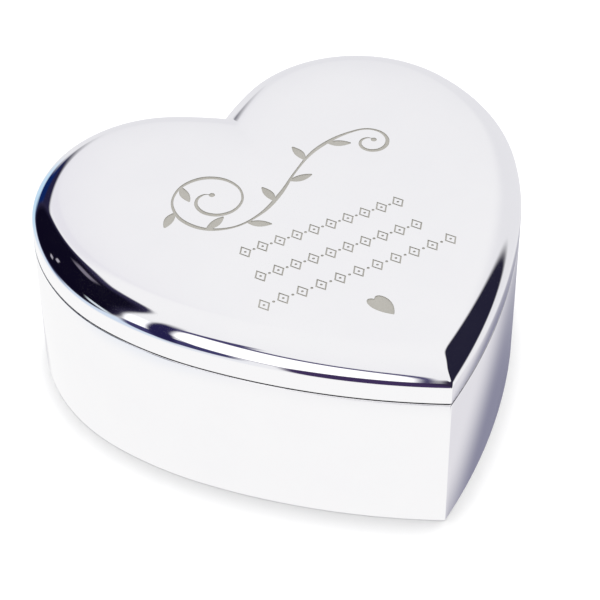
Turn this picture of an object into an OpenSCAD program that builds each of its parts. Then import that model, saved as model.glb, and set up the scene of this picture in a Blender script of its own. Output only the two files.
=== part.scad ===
// Heart-shaped trinket box: a polished plated body and lift-off domed lid,
// a collar that locates the lid, and a velvet lining.
// Origin: centre of the footprint, on the surface that the box stands on.
// +Z is up, the tip of the heart points to -Y and the cleft to +Y.

/* [Heart] */
// Width across the two lobes
body_w = 90; // [70:1:130]
// Rise of the side as it leaves the tip, in degrees
tip_rise = 31.4; // [26:0.2:36]

/* [Body] */
// Height of the wall's top edge, where the lid's seam is
seam_h = 28.4; // [22:0.1:45]
// Thickness of the side wall
wall_t = 1.2; // [0.8:0.1:2]
// Thickness of the base plate
base_t = 1.2; // [0.8:0.1:2.5]
// Thickness of the felt under the base plate
felt_t = 1; // [0.6:0.1:2]
// How far the felt stands below the wall's bottom edge
felt_proud = 0.2; // [0.1:0.05:0.5]

/* [Collar] */
// Thickness of the collar that locates the lid
collar_t = 0.8; // [0.5:0.1:1.2]
// Height of the collar's band
collar_h = 12; // [8:0.5:18]
// How far the collar stands above the wall's top edge
collar_rise = 2.4; // [1.5:0.1:3]

/* [Lid] */
// Gap between the wall's top edge and the lid's skirt
seam_gap = 0.3; // [0.1:0.05:0.5]
// Height of the lid's straight skirt
skirt_h = 3.2; // [2.5:0.1:6]
// How far in the rolled edge reaches
roll_w = 5.4; // [3:0.1:7]
// How far up the rolled edge reaches
roll_h = 5; // [3:0.1:7]
// How far in the pillow of the top reaches
crown_w = 16; // [8:0.5:16]
// Height of the pillow above the rolled edge
crown_h = 0.6; // [0.2:0.1:3]

/* [Lining] */
// Thickness of the velvet
velvet_t = 0.5; // [0.3:0.05:0.8]
// Thickness of the card that stiffens the wall's lining
wall_card_t = 1; // [0.6:0.1:1.5]
// Thickness of the card in the floor pad
floor_card_t = 1.2; // [0.8:0.1:2]
// Thickness of the foam in the floor pad
foam_t = 2; // [1:0.1:4]
// Thickness of the card in the lid's lining
lid_card_t = 0.6; // [0.4:0.05:0.8]
// How far the wall lining stays below the collar's top edge
lining_drop = 0.8; // [0.4:0.1:2]

/* [Fit] */
// Clearance round the felt and the pads
pad_clear = 0.2; // [0.1:0.05:0.5]
// Clearance between the lid's skirt and the collar
lid_clear = 0.2; // [0.1:0.05:0.4]
// Clearance between the lid's lining and the lid's skirt
lid_lining_clear = 0.3; // [0.2:0.05:0.6]
// Clearance between the lid's lining and the collar's top edge
rest_clear = 0.05; // [0.02:0.01:0.2]

/* [Hidden] */

// Heart outline. The right half runs from the tip to the cleft as a chain of arcs that
// meet in line. Each arc has its radius, for a heart whose half-width is about 1, and
// the angle it turns through; the last arc turns until it meets the centre line.
ARC_SHAPE = [[2.75, 20.2], [1.53, 15.4], [0.85, 41], [0.553, 100.9], [1.34, 0]];
ARCS = len(ARC_SHAPE);
WIDEST_ARC = 2; // the arc that holds the heart's widest point
LOBE_ARC = 3;   // the arc that holds the lobe's furthest point back

function out_dir(heading) = [sin(heading), -cos(heading)];
function start_heading(i) = i == 0 ? tip_rise : start_heading(i - 1) + ARC_SHAPE[i - 1][1];
function unit_start(i) = i == 0 ? [0, 0]
    : unit_centre(i - 1) + ARC_SHAPE[i - 1][0] * out_dir(start_heading(i));
function unit_centre(i) = unit_start(i) - ARC_SHAPE[i][0] * out_dir(start_heading(i));

// Scale and shift that bring the outline to its width, centred on the footprint
scale_up = body_w / 2 / (unit_centre(WIDEST_ARC)[0] + ARC_SHAPE[WIDEST_ARC][0]);
unit_l = unit_centre(LOBE_ARC)[1] + ARC_SHAPE[LOBE_ARC][0];
body_l = unit_l * scale_up;
RADII = [for (a = ARC_SHAPE) a[0] * scale_up];
CENTRES = [for (i = [0 : ARCS - 1]) (unit_centre(i) - [0, unit_l / 2]) * scale_up];

// Where arc i starts and ends, as headings, on the outline moved in by inset. The first
// and last arcs are cut by the centre line, so their ends move as the outline does.
function arc_from(i, inset) = i == 0 ? asin(-CENTRES[0][0] / (RADII[0] - inset))
    : start_heading(i);
function arc_to(i, inset) = i == ARCS - 1 ? 180 + asin(CENTRES[i][0] / (RADII[i] - inset))
    : start_heading(i + 1);
function arc_point(i, heading, inset) = CENTRES[i] + (RADII[i] - inset) * out_dir(heading);

// The outline moved in by inset, as points that run from the tip up the right half to
// the cleft and back down the left half
ARC_STEPS = [10, 6, 12, 24, 4]; // points along each arc of the right half
function right_points(inset) = concat(
    [for (i = [0 : ARCS - 1], s = [0 : ARC_STEPS[i] - 1])
        let(a = arc_from(i, inset), b = arc_to(i, inset))
        arc_point(i, a + (b - a) * s / ARC_STEPS[i], inset)],
    [arc_point(ARCS - 1, arc_to(ARCS - 1, inset), inset)]);
function outline(inset) = let(right = right_points(inset))
    concat(right, [for (k = [len(right) - 2 : -1 : 1]) [-right[k][0], right[k][1]]]);

// The lid's skirt is flush with the wall, so its thickness is what the collar leaves
lid_t = wall_t - lid_clear;

// Heights, from the surface up
base_z = felt_t;
floor_z = base_z + base_t;
collar_top = seam_h + collar_rise;
wall_lining_top = collar_top - lining_drop;
floor_foam_z = floor_z + floor_card_t;
floor_velvet_z = floor_foam_z + foam_t;
lid_lining_z = collar_top + rest_clear;
lid_card_z = lid_lining_z + velvet_t;
lid_card_top = lid_card_z + lid_card_t;
skirt_z = seam_h + seam_gap;
roll_z = skirt_z + skirt_h;
lid_top = roll_z + roll_h + crown_h;
lid_inner_top = lid_top - lid_t;

// Distances in from the outline
collar_in = wall_t;
lining_in = collar_in + collar_t;
wall_velvet_in = lining_in + wall_card_t;
room_in = wall_velvet_in + velvet_t;
felt_in = wall_t + pad_clear;
floor_pad_in = room_in + pad_clear;
floor_card_in = floor_pad_in + velvet_t;
lid_lining_in = lid_t + lid_lining_clear;
lid_card_in = lid_lining_in + velvet_t;

// Steps in the lid's section
ROLL_STEPS = 9;
CROWN_STEPS = 5;

silver = [0.86, 0.86, 0.88];
velvet = [0.05, 0.05, 0.06];
board = [0.55, 0.52, 0.46];
foam = [0.8, 0.8, 0.76];
felt = [0.08, 0.08, 0.09];

// A heart of height h that stands on z, moved in by inset
module slab(inset, z, h) {
    translate([0, 0, z]) linear_extrude(h) polygon(outline(inset));
}

// A band that follows the outline, from inset to inset + t
module band(inset, t, z, h) {
    difference() {
        slab(inset, z, h);
        slab(inset + t, z - 1, h + 2);
    }
}

// A tray or cap: a slab with a pocket of its own outline moved in by t
module pocketed(inset, t, z, h, pocket_z, pocket_h) {
    difference() {
        slab(inset, z, h);
        slab(inset + t, pocket_z, pocket_h);
    }
}

module body_wall() {
    color(silver) band(0, wall_t, felt_proud, seam_h - felt_proud);
}

module base_plate() {
    color(silver) slab(wall_t, base_z, base_t);
}

module base_felt() {
    color(felt) slab(felt_in, 0, felt_t);
}

module locating_collar() {
    color(silver) band(collar_in, collar_t, collar_top - collar_h, collar_h);
}

module wall_card() {
    color(board) band(lining_in, wall_card_t, floor_z, wall_lining_top - velvet_t - floor_z);
}

// The velvet faces the card and turns over its top edge
module wall_velvet() {
    color(velvet)
        difference() {
            slab(lining_in, floor_z, wall_lining_top - floor_z);
            slab(room_in, floor_z - 1, wall_lining_top - floor_z + 2);
            band(lining_in - 1, wall_card_t + 1, floor_z - 1, wall_lining_top - velvet_t - floor_z + 1);
        }
}

module floor_card() {
    color(board) slab(floor_card_in, floor_z, floor_card_t);
}

module floor_foam() {
    color(foam) slab(floor_card_in, floor_foam_z, foam_t);
}

// The velvet covers the foam and turns down over its sides and the card's
module floor_velvet() {
    color(velvet)
        pocketed(floor_pad_in, velvet_t, floor_z, floor_velvet_z + velvet_t - floor_z,
                 floor_z - 1, floor_velvet_z - floor_z + 1);
}

module lid_card() {
    color(board) slab(lid_card_in, lid_card_z, lid_card_t);
}

// The velvet covers the card's underside and turns up over its edge
module lid_velvet() {
    color(velvet)
        pocketed(lid_lining_in, velvet_t, lid_lining_z, velvet_t + lid_card_t,
                 lid_card_z, lid_card_t + 1);
}

// The pad that holds the lining up fills the space under the flat of the lid's top
module lid_foam() {
    color(foam) slab(crown_w + pad_clear, lid_card_top, lid_inner_top - lid_card_top);
}

// How high the pillow of the top stands at a distance in from the outline
function crown_rise(inset) = crown_h * (1 - pow(1 - min(inset, crown_w) / crown_w, 3));

// The lid's section as [inset, height], from its skirt's edge to the flat of the top, at
// depth t inside the outer surface. The roll's steps are even in angle and the crown's
// are even across.
function lid_section(t) = concat(
    [[t, skirt_z]],
    [for (s = [0 : ROLL_STEPS])
        let(a = 90 * s / ROLL_STEPS, inset = t + (roll_w - t) * (1 - cos(a)))
        [inset, roll_z + (roll_h - t) * sin(a) + crown_rise(inset)]],
    [for (s = [1 : CROWN_STEPS])
        let(inset = roll_w + (crown_w - roll_w) * s / CROWN_STEPS)
        [inset, roll_z + roll_h - t + crown_rise(inset)]]);

module lid_shell() {
    inner = lid_section(lid_t);
    section = concat([for (k = [len(inner) - 1 : -1 : 0]) inner[k]], lid_section(0));
    rings = [for (p = section) [for (q = outline(p[0])) [q[0], q[1], p[1]]]];
    n = len(rings[0]);
    m = len(rings);
    points = [for (r = rings, q = r) q];
    side = [for (k = [0 : m - 2], j = [0 : n - 1])
            [k * n + j, (k + 1) * n + j, (k + 1) * n + (j + 1) % n, k * n + (j + 1) % n]];
    ceiling = [[for (j = [0 : n - 1]) j]];
    top = [[for (j = [n - 1 : -1 : 0]) (m - 1) * n + j]];
    color(silver) polyhedron(points, concat(side, ceiling, top), convexity = 6);
}

body_wall();
base_plate();
base_felt();
locating_collar();
wall_card();
wall_velvet();
floor_card();
floor_foam();
floor_velvet();
lid_shell();
lid_foam();
lid_card();
lid_velvet();
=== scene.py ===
"""Heart-shaped trinket box in polished plate with a velvet lining, on a pale floor.

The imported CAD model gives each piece's size and place. The outline's arcs and the lid's
section repeat its values. The visible metal is rebuilt as smooth lofts that follow that
outline, the lid is engraved with a plain ornament, and the linings are modelled as soft
velvet. Lengths are in metres, with MM for millimetres.
"""

import math

import bmesh
import bpy
import numpy as np
from mathutils import Matrix, Vector, noise


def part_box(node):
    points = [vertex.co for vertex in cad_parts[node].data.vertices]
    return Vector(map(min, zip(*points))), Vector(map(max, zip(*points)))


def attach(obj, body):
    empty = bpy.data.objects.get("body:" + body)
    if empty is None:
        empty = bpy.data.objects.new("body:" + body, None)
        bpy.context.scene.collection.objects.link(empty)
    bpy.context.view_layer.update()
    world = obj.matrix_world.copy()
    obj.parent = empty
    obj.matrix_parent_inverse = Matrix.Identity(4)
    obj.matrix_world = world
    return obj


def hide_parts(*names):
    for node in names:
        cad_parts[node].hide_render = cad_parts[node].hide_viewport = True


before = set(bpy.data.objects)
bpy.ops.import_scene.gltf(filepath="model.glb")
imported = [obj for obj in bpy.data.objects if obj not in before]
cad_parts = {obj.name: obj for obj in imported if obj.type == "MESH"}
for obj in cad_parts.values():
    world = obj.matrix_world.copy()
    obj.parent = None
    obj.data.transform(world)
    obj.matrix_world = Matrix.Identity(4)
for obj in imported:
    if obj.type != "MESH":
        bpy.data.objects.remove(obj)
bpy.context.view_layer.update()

MM = 0.001
SKIN = 0.02 * MM  # the visible metal stays this far inside its CAD solid


# ---------------------------------------------------------------- the heart outline

# The right half as a chain of arcs that meet in line, from the tip to the cleft: each
# arc's radius, for a half-width of about 1, and the angle that it turns through. The
# last arc turns until it meets the centre line.
ARCS = [(2.75, 20.2), (1.53, 15.4), (0.85, 41.0), (0.553, 100.9), (1.34, 0.0)]
TIP_RISE = 31.4  # degrees that the side rises as it leaves the tip
WIDEST_ARC, LOBE_ARC = 2, 3
ARC_STEPS = [36, 24, 48, 96, 16]
CORNER_STEPS = 12


def out_dir(heading):
    """Unit vectors that point out of the outline where it runs along a heading."""
    a = np.radians(heading)
    return np.stack([np.sin(a), -np.cos(a)], -1)


def arc_chain(half_width):
    """Radii, centres and start headings of the arcs, centred on the footprint."""
    headings, centres, start = [TIP_RISE], [], np.zeros(2)
    for radius, turn in ARCS:
        centre = start - radius * out_dir(headings[-1])
        centres.append(centre)
        headings.append(headings[-1] + turn)
        start = centre + radius * out_dir(headings[-1])
    scale = half_width / (centres[WIDEST_ARC][0] + ARCS[WIDEST_ARC][0])
    length = centres[LOBE_ARC][1] + ARCS[LOBE_ARC][0]
    radii = [radius * scale for radius, _ in ARCS]
    return radii, [(c - (0, length / 2)) * scale for c in centres], headings[:-1]


WALL_LOW, WALL_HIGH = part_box("body_wall")
HALF_WIDTH = (WALL_HIGH.x - WALL_LOW.x) / 2
RADII, CENTRES, HEADINGS = arc_chain(HALF_WIDTH)


def heart_loop(inset, tip_round=0.35 * MM, cleft_round=0.3 * MM):
    """The outline moved in by inset, as points that run once round from the tip. The
    tip and the cleft are rounded to the given radii."""
    first = math.degrees(math.asin(-CENTRES[0][0] / (RADII[0] - inset - tip_round)))
    last = 180 + math.degrees(math.asin(CENTRES[-1][0] / (RADII[-1] - inset + cleft_round)))
    starts = [first] + HEADINGS[1:] + [last]
    right = [CENTRES[i] + (RADII[i] - inset) * out_dir(
        np.linspace(starts[i], starts[i + 1], ARC_STEPS[i], endpoint=False))
        for i in range(len(ARCS))]
    right.append([CENTRES[-1] + (RADII[-1] - inset) * out_dir(last)])
    right = np.vstack(right)
    turn = np.linspace(0, 1, CORNER_STEPS + 1)[1:-1, None]
    cleft_centre = right[-1] + cleft_round * out_dir(last)
    cleft = cleft_centre - cleft_round * out_dir(last + (360 - 2 * last) * turn[:, 0])
    tip_centre = right[0] - tip_round * out_dir(first)
    tip = tip_centre + tip_round * out_dir(first * (2 * turn[:, 0] - 1))
    left = right[::-1] * (-1, 1)
    return np.vstack([right, cleft, left, tip])


def soft_loop(inset):
    """heart_loop() with corners that grow rounder further in, as pressed sheet's do."""
    depth = max(inset, 0)
    tip_round = 0.35 * MM + 6 * MM * (1 - math.exp(-depth / (3.2 * MM)))
    return heart_loop(inset, tip_round, 0.3 * MM + 0.08 * depth)


# ---------------------------------------------------------------- mesh building

def make_object(name, points, faces, body, material):
    mesh = bpy.data.meshes.new(name)
    mesh.from_pydata([tuple(p) for p in points], [], faces)
    mesh.validate()
    mesh.polygons.foreach_set("use_smooth", [True] * len(mesh.polygons))
    mesh.materials.append(material)
    mesh.update()
    piece = bpy.data.objects.new(name, mesh)
    bpy.context.scene.collection.objects.link(piece)
    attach(piece, body)
    return piece


LOOP_POINTS = len(heart_loop(0))
MIDDLE_Y = 0.15  # a point that every inner loop surrounds, as a share of the half-width


def loft(section, closed=False, shrink=0):
    """Points and faces of a surface that sweeps a section round the heart. The section
    is (inset, height) pairs. A closed section makes a band; otherwise each end is
    filled, by a flat face or by shrink loops that close on a point."""
    loops = [np.c_[soft_loop(inset), np.full(LOOP_POINTS, z)] for inset, z in section]
    if shrink:
        middle = np.array([0, HALF_WIDTH * MIDDLE_Y, section[-1][1]])
        loops += [middle + (loops[-1] - middle) * (1 - s / shrink) for s in range(1, shrink)]
    n, m = LOOP_POINTS, len(loops)
    points = np.vstack(loops)
    around = range(n)

    def at(k, j):
        return k % m * n + j % n

    faces = [(at(k, j), at(k, j + 1), at(k + 1, j + 1), at(k + 1, j))
             for k in range(m if closed else m - 1) for j in around]
    if not closed:
        faces.append(tuple(reversed(around)))
        if shrink:
            points = np.vstack([points, middle])
            faces += [(at(m - 1, j), at(m - 1, j + 1), m * n) for j in around]
        else:
            faces.append(tuple(at(m - 1, j) for j in around))
    return points, faces


def quarter(inset, z, across, up, start, end, steps):
    """(inset, height) pairs along an ellipse's arc about a centre. Angle 0 points out
    of the heart and 90 points up."""
    angles = np.radians(np.linspace(start, end, steps + 1))
    return [(inset - across * math.cos(a), z + up * math.sin(a)) for a in angles]


NOISE_SEED = 1  # anything but 0, which would place the noise by the time of the run
noise.seed_set(NOISE_SEED)


def rough_up(points, height, scale, seed=0.0):
    """Moves points by smooth noise: height is how far, scale is the size of its lumps."""
    shift = Vector((seed, seed * 1.7, seed * 0.6))
    moved = [height * noise.noise_vector(Vector(p) / scale + shift) for p in points]
    return points + np.array([tuple(v) for v in moved])


# ---------------------------------------------------------------- materials

class Shader:
    """A node tree being built: add() makes a node, sets and links its inputs."""

    def __init__(self, tree):
        self.tree = tree
        tree.nodes.clear()

    def add(self, kind, inputs=None, **settings):
        node = self.tree.nodes.new(kind)
        for name, value in settings.items():
            setattr(node, name, value)
        for name, value in (inputs or {}).items():
            socket = node.inputs[name]
            if isinstance(value, bpy.types.NodeSocket):
                self.tree.links.new(value, socket)
            else:
                socket.default_value = value
        return node

    def math(self, operation, a, b=0.0, c=0.0):
        return self.add("ShaderNodeMath", {0: a, 1: b, 2: c}, operation=operation).outputs[0]

    def smooth(self, value, low, high, out_low=0.0, out_high=1.0):
        node = self.add("ShaderNodeMapRange", {
            "Value": value, "From Min": low, "From Max": high, "To Min": out_low,
            "To Max": out_high}, interpolation_type="SMOOTHSTEP")
        return node.outputs["Result"]

    def mix(self, factor, a, b):
        node = self.add("ShaderNodeMix", data_type="RGBA")
        for index, value in ((0, factor), (6, a), (7, b)):
            if isinstance(value, bpy.types.NodeSocket):
                self.tree.links.new(value, node.inputs[index])
            else:
                node.inputs[index].default_value = value
        return node.outputs[2]

    def noise(self, place, scale, detail=3.0, roughness=0.5):
        node = self.add("ShaderNodeTexNoise", {"Vector": place, "Scale": scale,
                        "Detail": detail, "Roughness": roughness})
        return node.outputs["Fac"]

    def place(self, stretch=(1, 1, 1)):
        where = self.add("ShaderNodeTexCoord").outputs["Object"]
        return self.add("ShaderNodeMapping", {"Vector": where, "Scale": stretch}).outputs[0]

    def bump(self, height, strength, distance):
        return self.add("ShaderNodeBump", {
            "Height": height, "Strength": strength, "Distance": distance}).outputs[0]


def new_material(name):
    material = bpy.data.materials.new(name)
    material.use_nodes = True
    return material, Shader(material.node_tree)


def finish_material(shader, inputs):
    surface = shader.add("ShaderNodeBsdfPrincipled", inputs)
    shader.add("ShaderNodeOutputMaterial", {"Surface": surface.outputs[0]})


def grey(value, alpha=1.0):
    return (value, value, value, alpha)


def polished_plate():
    """Bright plated metal, with faint polishing haze and hairline scratches."""
    material, s = new_material("polished_plate")
    haze = s.noise(s.place(), 90.0, 4.0, 0.6)
    swirl = s.noise(s.place((1, 1, 3)), 420.0, 2.0)
    hairlines = s.noise(s.place((900, 60, 60)), 4.0, 2.0, 0.7)
    tint = s.mix(haze, (0.93, 0.925, 0.94, 1), (0.965, 0.96, 0.965, 1))
    roughness = s.math("ADD", s.smooth(haze, 0.35, 0.75, 0.025, 0.06),
                       s.smooth(hairlines, 0.62, 0.72, 0.0, 0.03))
    normal = s.bump(swirl, 0.05, 0.02 * MM)
    finish_material(s, {"Base Color": tint, "Metallic": 1.0, "Roughness": roughness,
                        "Normal": normal})
    return material


def etched_metal():
    """The matt, slightly darker floor of the engraving."""
    material, s = new_material("etched_metal")
    grain = s.noise(s.place(), 3500.0, 2.0)
    patches = s.noise(s.place(), 160.0, 2.0)
    tint = s.mix(patches, (0.35, 0.34, 0.305, 1), (0.46, 0.445, 0.41, 1))
    normal = s.bump(grain, 0.4, 0.03 * MM)
    finish_material(s, {"Base Color": tint, "Metallic": 0.35,
                        "Roughness": s.smooth(grain, 0.2, 0.8, 0.5, 0.7), "Normal": normal})
    return material


def velvet():
    """Short-pile black velvet: dark face on, a soft pale rim, and brushed patches."""
    material, s = new_material("velvet")
    brushed = s.noise(s.place(), 110.0, 3.0, 0.6)
    pile = s.noise(s.place(), 5200.0, 2.0, 0.7)
    tint = s.mix(s.smooth(brushed, 0.35, 0.65), (0.006, 0.006, 0.009, 1),
                 (0.02, 0.02, 0.028, 1))
    normal = s.bump(pile, 0.7, 0.12 * MM)
    finish_material(s, {"Base Color": tint, "Roughness": s.smooth(pile, 0.2, 0.8, 0.75, 0.95),
                        "Normal": normal, "Specular IOR Level": 0.2, "Sheen Weight": 0.7,
                        "Sheen Roughness": 0.35, "Sheen Tint": (0.45, 0.45, 0.55, 1)})
    return material


def felt():
    """Pressed charcoal felt with lighter fibres caught in it."""
    material, s = new_material("felt")
    fibres = s.noise(s.place((1, 6, 1)), 900.0, 3.0, 0.7)
    cross = s.noise(s.place((6, 1, 1)), 900.0, 3.0, 0.7)
    mass = s.math("MAXIMUM", fibres, cross)
    tint = s.mix(s.smooth(mass, 0.45, 0.8), (0.035, 0.035, 0.04, 1), (0.16, 0.16, 0.17, 1))
    finish_material(s, {"Base Color": tint, "Roughness": s.smooth(mass, 0.3, 0.8, 0.98, 0.8),
                        "Normal": s.bump(mass, 0.8, 0.15 * MM), "Specular IOR Level": 0.2,
                        "Sheen Weight": 0.3, "Sheen Roughness": 0.5})
    return material


def greyboard():
    """Raw recycled card, with flecks."""
    material, s = new_material("greyboard")
    flecks = s.noise(s.place(), 1800.0, 4.0, 0.7)
    layers = s.noise(s.place((20, 20, 400)), 12.0, 2.0)
    tint = s.mix(flecks, (0.24, 0.21, 0.16, 1), (0.42, 0.39, 0.32, 1))
    tint = s.mix(s.smooth(layers, 0.45, 0.7, 0, 0.4), tint, (0.2, 0.18, 0.14, 1))
    finish_material(s, {"Base Color": tint,
                        "Roughness": s.smooth(flecks, 0.2, 0.8, 0.8, 0.95),
                        "Normal": s.bump(flecks, 0.4, 0.05 * MM)})
    return material


def open_foam():
    """Pale open-cell foam, with painted shade in its pores."""
    material, s = new_material("open_foam")
    voronoi = s.add("ShaderNodeTexVoronoi", {"Vector": s.place(), "Scale": 2600.0})
    cells = voronoi.outputs["Distance"]
    # The tint is darker in the middle of each cell, where the bump sinks in: painted shade in
    # the pores.
    tint = s.mix(s.smooth(cells, 0.1, 0.6), (0.45, 0.45, 0.40, 1), (0.72, 0.71, 0.65, 1))
    finish_material(s, {"Base Color": tint, "Roughness": s.smooth(cells, 0.1, 0.6, 0.95, 0.8),
                        "Normal": s.bump(cells, 0.8, 0.2 * MM)})
    return material


PLATE = polished_plate()
ETCHED = etched_metal()
VELVET = velvet()
FELT = felt()
CARD = greyboard()
FOAM = open_foam()


# ---------------------------------------------------------------- the box's metal

def inset_of(node):
    """How far in from the wall's outer face a CAD node's widest point lies."""
    return HALF_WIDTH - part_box(node)[1].x


def band_section(inner, outer, low, high, lip):
    """A band's closed section, from its outer foot up and back down inside, with its
    edges rounded to the lip radius."""
    return (quarter(outer + lip, low + lip, lip, lip, -90, 0, 4)
            + quarter(outer + lip, high - lip, lip, lip, 0, 90, 4)
            + quarter(inner - lip, high - lip, lip, lip, 90, 180, 4)
            + quarter(inner - lip, low + lip, lip, lip, 180, 270, 4))


def build_wall():
    low, high = WALL_LOW.z, WALL_HIGH.z
    inner = inset_of("locating_collar")
    points, faces = loft(band_section(inner - SKIN, SKIN, low, high, 0.15 * MM), closed=True)
    wall = make_object("wall_metal", points, faces, "box", PLATE)
    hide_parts("body_wall")


def build_collar():
    low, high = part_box("locating_collar")
    outer = inset_of("locating_collar")
    inner = inset_of("wall_card")
    section = band_section(inner - SKIN, outer + SKIN, low.z, high.z - SKIN, 0.3 * MM)
    points, faces = loft(section, closed=True)
    collar = make_object("collar_metal", points, faces, "box", PLATE)
    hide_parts("locating_collar")


build_wall()
build_collar()


# ---------------------------------------------------------------- the linings

PILE = 0.06 * MM  # how far velvet's surface wanders
PAD_CLEAR = 0.2 * MM  # the floor pad's clearance to the side lining


def build_wall_lining():
    """Velvet that faces the side card and turns over its top in a soft rounded edge."""
    low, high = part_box("wall_velvet")
    outer = inset_of("wall_velvet") + SKIN
    card = inset_of("wall_card")
    face = inset_of("floor_velvet") - PAD_CLEAR
    fold = (face - outer) / 2
    section = ([(face, low.z), (face, low.z + 8 * MM), (face, low.z + 16 * MM)]
               + quarter(outer + fold, high.z - fold, fold, fold, 180, 0, 12)
               + [(outer, high.z - 2 * fold), (card + fold, high.z - 2 * fold),
                  (card + fold, low.z)])
    points, faces = loft(section[::-1], closed=True)
    lining = make_object("side_lining", rough_up(points, PILE, 3 * MM, 1.0), faces, "box",
                         VELVET)
    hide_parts("wall_velvet", "wall_card")


def build_floor_pad():
    """The padded velvet floor: a crowned cushion over foam and card, pulled in at its
    edge where the velvet turns down."""
    low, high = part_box("floor_velvet")
    edge = inset_of("floor_velvet") + 0.05 * MM
    height = high.z - low.z
    shoulder = 1.3 * MM
    drop = 0.9 * MM  # how far its shoulder lies below its middle
    crown, crown_width, crown_steps = 0.8 * MM, 12 * MM, 12
    lump_height, lump_size = 0.16 * MM, 9 * MM
    section = [(edge + 6 * MM, low.z + SKIN), (edge + 0.4 * MM, low.z + SKIN)]
    section += [(edge + 0.1 * MM, low.z + 0.3 * MM), (edge, low.z + 0.3 * height)]
    section += quarter(edge + shoulder, high.z - shoulder - drop, shoulder, shoulder, 0, 78, 8)
    start = section[-1]
    for step in range(1, crown_steps + 1):
        share = step / crown_steps
        section.append((start[0] + share * (crown_width - shoulder),
                        start[1] + crown * (1 - (1 - share) ** 2.2)))
    points, faces = loft(section, shrink=22)
    top = points[:, 2] > low.z + 0.5 * height
    points[top] = rough_up(points[top], lump_height, lump_size, 4.0)
    points = rough_up(points, PILE, 2.5 * MM, 2.0)
    pad = make_object("floor_pad", points, faces, "box", VELVET)
    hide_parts("floor_velvet", "floor_foam", "floor_card")


def build_underside_felt():
    low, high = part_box("base_felt")
    edge = inset_of("base_felt") + SKIN
    lip = 0.3 * MM
    section = ([(edge + lip, low.z)] + quarter(edge + lip, low.z + lip, lip, lip, -90, 0, 4)[1:]
               + quarter(edge + lip, high.z - lip, lip, lip, 0, 90, 4))
    points, faces = loft(section)
    under = make_object("underside_felt", points, faces, "box", FELT)
    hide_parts("base_felt")


build_wall_lining()
build_floor_pad()
build_underside_felt()


# ---------------------------------------------------------------- the lid

SHELL_LOW, SHELL_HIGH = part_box("lid_shell")
LID_T = SHELL_HIGH.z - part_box("lid_foam")[1].z
SKIRT_H = 3.2 * MM
ROLL_W = 5.4 * MM
CROWN_W = 16 * MM
CROWN_H = 0.6 * MM


def lid_section(depth):
    """The lid's section from its skirt's edge to the flat of its top, at a depth inside
    its outer face."""
    roll_z = SHELL_LOW.z + SKIRT_H
    roll_h = SHELL_HIGH.z - CROWN_H - roll_z - depth
    section = quarter(ROLL_W, roll_z, ROLL_W - depth, roll_h, 0, 90, 30)
    section += [(ROLL_W + s * (CROWN_W - ROLL_W) / 20, roll_z + roll_h) for s in range(1, 21)]
    return [(inset, z + CROWN_H * (1 - (1 - inset / CROWN_W) ** 3)) for inset, z in section]


def build_lid():
    lip = 0.15 * MM
    foot = SHELL_LOW.z + lip
    inner = lid_section(LID_T - SKIN)[::-1]
    section = (inner + quarter(LID_T - SKIN - lip, foot, lip, lip, 180, 270, 4)
               + quarter(SKIN + lip, foot, lip, lip, -90, 0, 4) + lid_section(SKIN))
    points, faces = loft(section)
    lid = make_object("lid_metal", points, faces, "lid", PLATE)
    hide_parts("lid_shell")
    return lid


# ---------------------------------------------------------------- the lid's engraving

# A letterless ornament, cut into the lid: a vine that curls up at both ends, three rows of
# lozenges and dots, and a small heart. Its sizes and places are in millimetres.
CUT_DEPTH = 0.15 * MM
STEM_WIDE, STEM_FINE = 0.80, 0.42
STEM_SWELLS = 6  # how often the stem grows from fine to wide and back
STEM_END = 0.02  # the share of the stem that tapers at each end
BERRY = 0.55  # radius of the dot at each end of the stem
LEAVES = [(0.30, 1), (0.37, -1), (0.44, 1), (0.51, -1),  # share of the stem, and side
          (0.58, 1), (0.64, -1), (0.70, 1), (0.76, -1)]
LEAF_LENGTH, LEAF_WIDTH = 4.4, 1.7
LEAF_LEAN = 52  # degrees away from the stem
ROWS = [((-15.9, -2.6), (13.9, -4.1)), ((-16.6, -9.4), (13.5, -11.0)),
        ((-19.6, -16.1), (16.6, -17.2))]
ROW_PITCH = 3.3
LOZENGE_LONG, LOZENGE_HIGH = 1.15, 1.65  # half of its length and of its height
LOZENGE_HOLE = 0.72  # its hole's size, as a share of its own
SEED, DOT = 0.24, 0.26  # radii of the dot in a lozenge and of the dot between two
HEART_AT, HEART_SIZE = (-2.4, -26.2), 2.3


def spiral(centre, start_r, end_r, start, end, step=36):
    """Points on a spiral between two radii and two angles in degrees."""
    count = int(abs(end - start) / step) + 1
    angles = np.radians(np.linspace(start, end, count))
    radii = start_r + (end_r - start_r) * np.linspace(0, 1, count) ** 0.8
    return np.array(centre) + radii[:, None] * np.c_[np.cos(angles), np.sin(angles)]


def through(points, step=0.25):
    """A smooth curve through the points, as points one step apart."""
    points = np.array(points)
    padded = np.vstack([2 * points[0] - points[1], points, 2 * points[-1] - points[-2]])
    curve = []
    for a, b, c, d in zip(padded, padded[1:], padded[2:], padded[3:]):
        t = np.linspace(0, 1, 25)[:-1, None]
        curve.append(0.5 * (2 * b + (c - a) * t + (2 * a - 5 * b + 4 * c - d) * t ** 2
                            + (3 * b - a - 3 * c + d) * t ** 3))
    curve = np.vstack(curve + [points[-1:]])
    along = np.r_[0, np.cumsum(np.linalg.norm(np.diff(curve, axis=0), axis=1))]
    even = np.linspace(0, along[-1], int(along[-1] / step) + 1)
    return np.c_[np.interp(even, along, curve[:, 0]), np.interp(even, along, curve[:, 1])]


def left_of(run):
    """The unit vectors a quarter turn to the left of some vectors."""
    run = run / np.linalg.norm(run, axis=-1, keepdims=True)
    return np.stack([-run[..., 1], run[..., 0]], -1)


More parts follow.
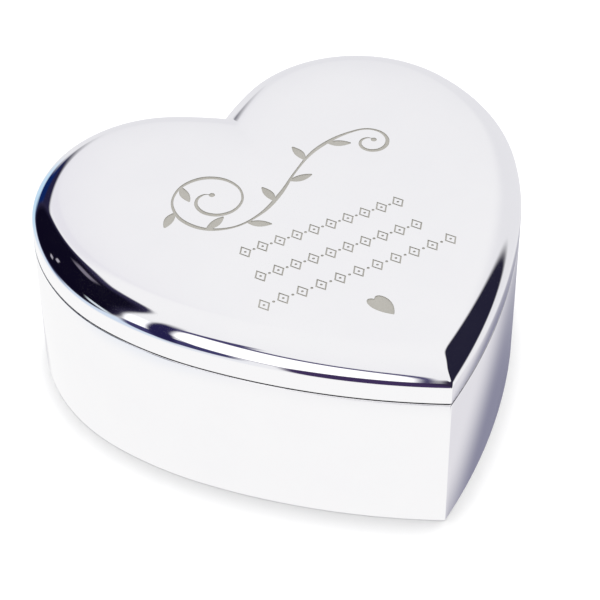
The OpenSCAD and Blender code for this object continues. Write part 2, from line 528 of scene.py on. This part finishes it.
class Cutter:
    """Upright prisms that stand through the lid's top to the depth of the cut."""

    def __init__(self):
        self.points, self.faces = [], []

    def stand(self, *lines):
        """Adds lines of points at the cut's floor, then above the lid. Returns the number
        of the first point."""
        first = len(self.points)
        for z in (SHELL_HIGH.z - CUT_DEPTH, SHELL_HIGH.z + CUT_DEPTH):
            self.points += [(x * MM, y * MM, z) for line in lines for x, y in line]
        return first

    def strip(self, left, right):
        """A prism on the strip between two lines with as many points each."""
        first, n = self.stand(left, right), len(left)
        low_l, low_r, high_l, high_r = (range(first + k * n, first + (k + 1) * n)
                                        for k in range(4))
        for a, b in zip(range(n - 1), range(1, n)):
            self.faces += [(low_l[a], low_l[b], low_r[b], low_r[a]),
                           (high_l[a], high_r[a], high_r[b], high_l[b]),
                           (low_l[a], high_l[a], high_l[b], low_l[b]),
                           (low_r[a], low_r[b], high_r[b], high_r[a])]
        self.faces += [(low_l[0], low_r[0], high_r[0], high_l[0]),
                       (low_l[-1], high_l[-1], high_r[-1], low_r[-1])]

    def ring(self, outer, inner):
        """A prism on the closed strip between two loops."""
        first, n = self.stand(outer, inner), len(outer)

        def at(line, j):
            return first + line * n + j % n

        for j in range(n):
            self.faces += [(at(0, j), at(1, j), at(1, j + 1), at(0, j + 1)),
                           (at(2, j), at(2, j + 1), at(3, j + 1), at(3, j)),
                           (at(0, j), at(0, j + 1), at(2, j + 1), at(2, j)),
                           (at(1, j), at(3, j), at(3, j + 1), at(1, j + 1))]

    def blob(self, outline):
        """A prism on a closed outline."""
        first, n = self.stand(outline), len(outline)
        self.faces += [tuple(first + j for j in reversed(range(n))),
                       tuple(first + n + j for j in range(n))]
        self.faces += [(first + j, first + (j + 1) % n, first + n + (j + 1) % n, first + n + j)
                       for j in range(n)]

    def cut(self, lid):
        mesh = bpy.data.meshes.new("cutter")
        mesh.from_pydata(self.points, [], self.faces)
        mesh.materials.append(PLATE)
        mesh.materials.append(ETCHED)
        mesh.polygons.foreach_set("material_index", [1] * len(mesh.polygons))
        outward = bmesh.new()
        outward.from_mesh(mesh)
        bmesh.ops.recalc_face_normals(outward, faces=outward.faces)
        outward.to_mesh(mesh)
        outward.free()
        cutter = bpy.data.objects.new("cutter", mesh)
        bpy.context.scene.collection.objects.link(cutter)
        boolean = lid.modifiers.new("engrave", "BOOLEAN")
        boolean.operation, boolean.solver = "DIFFERENCE", "EXACT"
        boolean.material_mode = "INDEX"
        boolean.object = cutter
        done = lid.evaluated_get(bpy.context.evaluated_depsgraph_get())
        uncut, lid.data = lid.data, bpy.data.meshes.new_from_object(done)
        lid.modifiers.clear()
        bpy.data.meshes.remove(uncut)
        bpy.data.objects.remove(cutter)
        bpy.data.meshes.remove(mesh)


def circle(centre, radius, corners=16):
    turn = np.linspace(0, 2 * math.pi, corners, endpoint=False)
    return np.array(centre) + radius * np.c_[np.cos(turn), np.sin(turn)]


def leaf(root, heading):
    """A pointed oval's two sides, from its root to its tip, bent a little to one side."""
    t = np.linspace(0, 1, 17)
    along = np.array([math.cos(heading), math.sin(heading)])
    across = left_of(along)
    middle = root + LEAF_LENGTH * (t[:, None] * along + 0.12 * (t ** 2)[:, None] * across)
    half = LEAF_WIDTH / 2 * np.sin(math.pi * (0.04 + 0.92 * t)) ** 0.9
    return middle + half[:, None] * across, middle - half[:, None] * across


def add_vine(lines, sprays):
    """The stem goes to lines. The berries at its ends and its leaves go to sprays."""
    stem = through(np.vstack([
        spiral((-14.2, 12.6), 1.4, 8.4, -650, -90),
        [(-8.4, 5.2), (-3.0, 8.2), (2.2, 12.2), (7.6, 15.6), (13.0, 17.2)],
        spiral((18.4, 13.0), 4.4, 1.0, 100, -340)]))
    share = np.linspace(0, 1, len(stem))
    width = STEM_FINE + (STEM_WIDE - STEM_FINE) * (
        0.5 - 0.5 * np.cos(share * STEM_SWELLS * 2 * math.pi))
    width *= np.clip(np.minimum(share, 1 - share) / STEM_END, 0.35, 1)
    left = left_of(np.gradient(stem, axis=0))
    out = left * width[:, None] / 2
    lines.strip(stem + out, stem - out)
    for end in (stem[0], stem[-1]):
        sprays.blob(circle(end, BERRY))
    for where, side in LEAVES:
        k = int(where * (len(stem) - 1))
        run = math.atan2(-left[k][0], left[k][1])
        sprays.strip(*leaf(stem[k], run + side * math.radians(LEAF_LEAN)))


def add_rows(lines):
    """Lozenge rings with a seed in each, and dots between them."""
    for start, end in np.array(ROWS):
        run = end - start
        length = np.linalg.norm(run)
        along = run / length
        across = left_of(along)
        corners = np.array([LOZENGE_LONG * along, LOZENGE_HIGH * across,
                            -LOZENGE_LONG * along, -LOZENGE_HIGH * across])
        count = int(length / ROW_PITCH)
        for k in range(count + 1):
            centre = start + run * k / count
            lines.ring(centre + corners, centre + LOZENGE_HOLE * corners)
            lines.blob(circle(centre, SEED, 10))
            if k < count:
                lines.blob(circle(centre + run / count / 2, DOT, 10))


def add_heart(lines):
    """The box's own outline, made slimmer and leaning."""
    heart = heart_loop(0, 0.5 * MM, 0.3 * MM)[::6] / HALF_WIDTH * HEART_SIZE * (0.78, 1.2)
    lines.blob(heart @ np.array([(1, 0), (-0.18, 1)]) + HEART_AT)


def engrave(lid):
    lid.data.materials.append(ETCHED)
    lines, sprays = Cutter(), Cutter()
    add_vine(lines, sprays)
    add_rows(lines)
    add_heart(lines)
    lines.cut(lid)
    sprays.cut(lid)
    lid.data.set_sharp_from_angle(angle=math.radians(35))


def build_lid_lining():
    """The lid's lining: a thin velvet pad that swells a little below its card."""
    low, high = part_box("lid_velvet")
    edge = inset_of("lid_velvet") + SKIN
    rest = inset_of("wall_velvet") + 0.4 * MM  # where it lies on the collar
    fold, swell, swell_width, swell_steps = 0.35 * MM, 0.2 * MM, 7 * MM, 10
    lump_height, lump_size = 0.05 * MM, 8 * MM
    section = [(edge + 2 * MM, high.z - 0.1 * MM), (edge, high.z - 0.1 * MM),
               (edge, low.z + fold)]
    section += quarter(edge + fold, low.z + fold, fold, fold, 0, -90, 5)[1:]
    for step in range(swell_steps + 1):
        bulge = swell * (1 - math.cos(math.pi * step / swell_steps)) / 2
        section.append((rest + swell_width * step / swell_steps, low.z - bulge))
    points, faces = loft(section, shrink=20)
    lumpy = rough_up(points, lump_height, lump_size, 7.0)
    points[:, 2] += np.where(points[:, 2] < low.z - 0.05 * MM, lumpy[:, 2] - points[:, 2], 0)
    pad = make_object("lid_lining", points, [f[::-1] for f in faces], "lid", VELVET)
    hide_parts("lid_velvet")


LID = build_lid()
engrave(LID)
build_lid_lining()

for node_name, material in (("base_plate", PLATE), ("lid_card", CARD), ("lid_foam", FOAM)):
    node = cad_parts[node_name]
    node.data.materials.clear()
    node.data.materials.append(material)


# ---------------------------------------------------------------- floor, light and camera

def build_floor():
    """A pale floor, matt and faintly mottled. The metal mirrors the tent in its place."""
    size = 3.0
    mesh = bpy.data.meshes.new("floor")
    mesh.from_pydata([(-size, -size, 0), (size, -size, 0), (size, size, 0), (-size, size, 0)],
                     [], [(0, 1, 2, 3)])
    floor = bpy.data.objects.new("floor", mesh)
    bpy.context.scene.collection.objects.link(floor)
    material, s = new_material("pale_floor")
    mesh.materials.append(material)
    mottle = s.noise(s.place(), 60.0, 3.0)
    tint = s.mix(mottle, grey(0.92), grey(0.94))
    matt = s.add("ShaderNodeBsdfDiffuse", {"Color": tint})
    s.add("ShaderNodeOutputMaterial", {"Surface": matt.outputs[0]})
    floor.visible_glossy = False


# What the polished metal sees round it, as soft-edged cards, each laid over those before
# it: azimuth (0 towards +Y, 90 towards +X) and elevation of the middle, half-width,
# half-height and tilt, the degrees that it climbs for each degree across, then the
# softness of the edge as a share of the card's size, and the colour.
CARDS = [
    (50, -2, 44, 35, 0.0, 0.30, (0.81, 0.81, 0.84)),        # grey back wall
    (2, 40, 16, 12, 0.0, 0.60, (0.82, 0.81, 0.86)),         # its shaded top
    (78, -50, 24, 14, 0.0, 0.35, (0.78, 0.77, 0.81)),       # mirrored floor on the right, darker than the floor itself
    (44, -52, 26, 13, 0.0, 0.45, (0.26, 0.26, 0.35)),       # mirrored floor further round, much darker than the floor itself
    (300, -24, 45, 9, 0.0, 0.45, (0.66, 0.76, 0.90)),       # pale sill under the doorway
    (353, -15, 12, 17, 0.0, 0.35, (0.56, 0.76, 0.93)),      # daylight
    (348, 18, 24, 10, 0.1, 0.25, (0.018, 0.016, 0.05)),     # doorway's dark side
    (347, 2, 18, 9, 0.5, 0.35, (0.004, 0.018, 0.11)),       # blue glow beside the doorway
    (330, -14, 18, 9, 0.4, 0.40, (0.004, 0.02, 0.12)),
    (309, 15, 36.5, 38, 0.0, 0.04, (0.035, 0.03, 0.075)),   # doorway's frame
    (309, 13, 35, 35, 0.0, 0.12, (0.004, 0.003, 0.012)),    # dark doorway
    (311, 39, 9, 3, 0.0, 0.50, (0.20, 0.18, 0.23)),         # lamp in the doorway
    (313, 6, 1.2, 3.5, 0.0, 0.40, (0.40, 0.38, 0.44)),
    (317, -3, 1.2, 3, 0.0, 0.40, (0.40, 0.38, 0.44)),
    (284, -13, 6, 3.5, 0.4, 0.40, (0.70, 0.78, 0.84)),      # bright step
    (268, 2, 4, 15, 0.0, 0.30, (1.25, 1.25, 1.3)),          # bright gap
    (259, -16, 15, 8, 0.0, 0.15, (0.05, 0.045, 0.14)),      # foot of the stand
    (261, 3, 4.2, 27, 0.0, 0.25, (0.018, 0.015, 0.07)),     # stand
    (251, 28, 8, 3.5, -0.3, 0.30, (0.06, 0.05, 0.15)),      # stand's arm
    (235, 3, 23, 21, 0.4, 0.05, (0.06, 0.05, 0.15)),        # softbox's rim
    (236, 2, 21.5, 18, 0.4, 0.07, (1.3, 1.3, 1.3)),         # softbox
    (220, -23, 17, 10, 0.0, 0.10, (0.05, 0.03, 0.10)),      # dark table edge
    (155, -12, 57, 18, 0.0, 0.08, (0.03, 0.022, 0.05)),     # dark edge behind the camera
    (118, 11, 34, 38, -0.28, 0.07, (0.017, 0.016, 0.036)),  # dark flag on the right
]
CARD_POWER = 4.0  # 2 makes the cards ellipses; more makes them squarer
TENT_SIDE, TENT_TOP = (0.90, 0.90, 0.92, 1), (0.94, 0.94, 0.95, 1)
TENT_FOOT = 0.985  # the tent in place of the floor, more than about 33 degrees down
ROOM = 1.05  # what lights the floor and the cloth


def build_world():
    """Plain pale light from all round. Mirror-like rays don't see it: they see a tent
    with the cards round it, down to its foot in place of the floor."""
    world = bpy.data.worlds.new("tent")
    bpy.context.scene.world = world
    world.use_nodes = True
    s = Shader(world.node_tree)
    direction = s.add("ShaderNodeTexCoord").outputs["Generated"]
    x, y, z = s.add("ShaderNodeSeparateXYZ", {0: direction}).outputs
    azimuth = s.math("DEGREES", s.math("ARCTAN2", x, y))
    elevation = s.math("DEGREES", s.math("ARCSINE", z))
    colour = s.mix(s.smooth(elevation, -10, 80), TENT_SIDE, TENT_TOP)
    colour = s.mix(s.smooth(elevation, -37, -29), grey(TENT_FOOT), colour)
    for az, el, half_w, half_h, tilt, soft, tint in CARDS:
        off_az = s.math("WRAP", s.math("SUBTRACT", azimuth, az), -180.0, 180.0)
        off_el = s.math("SUBTRACT", s.math("SUBTRACT", elevation, el),
                        s.math("MULTIPLY", off_az, tilt))
        across, up = (
            s.math("POWER", s.math("ABSOLUTE", s.math("DIVIDE", off, half)), CARD_POWER)
            for off, half in ((off_az, half_w), (off_el, half_h)))
        edge = s.math("POWER", s.math("ADD", across, up), 1 / CARD_POWER)
        colour = s.mix(s.smooth(edge, 1 - soft, 1 + soft), (*tint, 1), colour)
    mirrored = s.add("ShaderNodeLightPath").outputs["Is Glossy Ray"]
    seen = s.mix(mirrored, grey(ROOM), colour)
    background = s.add("ShaderNodeBackground", {"Color": seen, "Strength": 1.0})
    s.add("ShaderNodeOutputWorld", {"Surface": background.outputs[0]})


def build_light():
    """A soft light nearly overhead, which leaves a narrow shadow at the front left."""
    light = bpy.data.lights.new("overhead", "SUN")
    light.energy = 1.5
    light.angle = math.radians(16)
    overhead = bpy.data.objects.new("overhead", light)
    lean, azimuth = math.radians(6.5), math.radians(25)
    towards = Vector((math.sin(azimuth) * math.sin(lean), math.cos(azimuth) * math.sin(lean),
                      math.cos(lean)))
    overhead.rotation_euler = towards.to_track_quat("Z", "Y").to_euler()
    overhead.visible_glossy = False
    bpy.context.scene.collection.objects.link(overhead)


def build_camera():
    """A long lens that looks down on the box from the front left, nearly level."""
    azimuth, elevation, tilt = (math.radians(v) for v in (-29.0, 42.14, -0.56))
    back = Vector((math.sin(azimuth) * math.cos(elevation),
                   -math.cos(azimuth) * math.cos(elevation), math.sin(elevation)))
    target = Vector((6.31, 18.21, 0)) * MM
    distance = 420.8 * MM
    level = Vector((math.cos(azimuth), math.sin(azimuth), 0))
    upright = back.cross(level)
    right = math.cos(tilt) * level + math.sin(tilt) * upright
    up = math.cos(tilt) * upright - math.sin(tilt) * level
    data = bpy.data.cameras.new("camera")
    data.lens = 130.5
    data.clip_start = 0.01
    camera = bpy.data.objects.new("camera", data)
    turn = Matrix((right, up, back)).transposed().to_4x4()
    camera.matrix_world = Matrix.Translation(target + distance * back) @ turn
    bpy.context.scene.collection.objects.link(camera)
    bpy.context.scene.camera = camera


build_floor()
build_world()
build_light()
build_camera()
bpy.context.scene.view_settings.view_transform = "Standard"
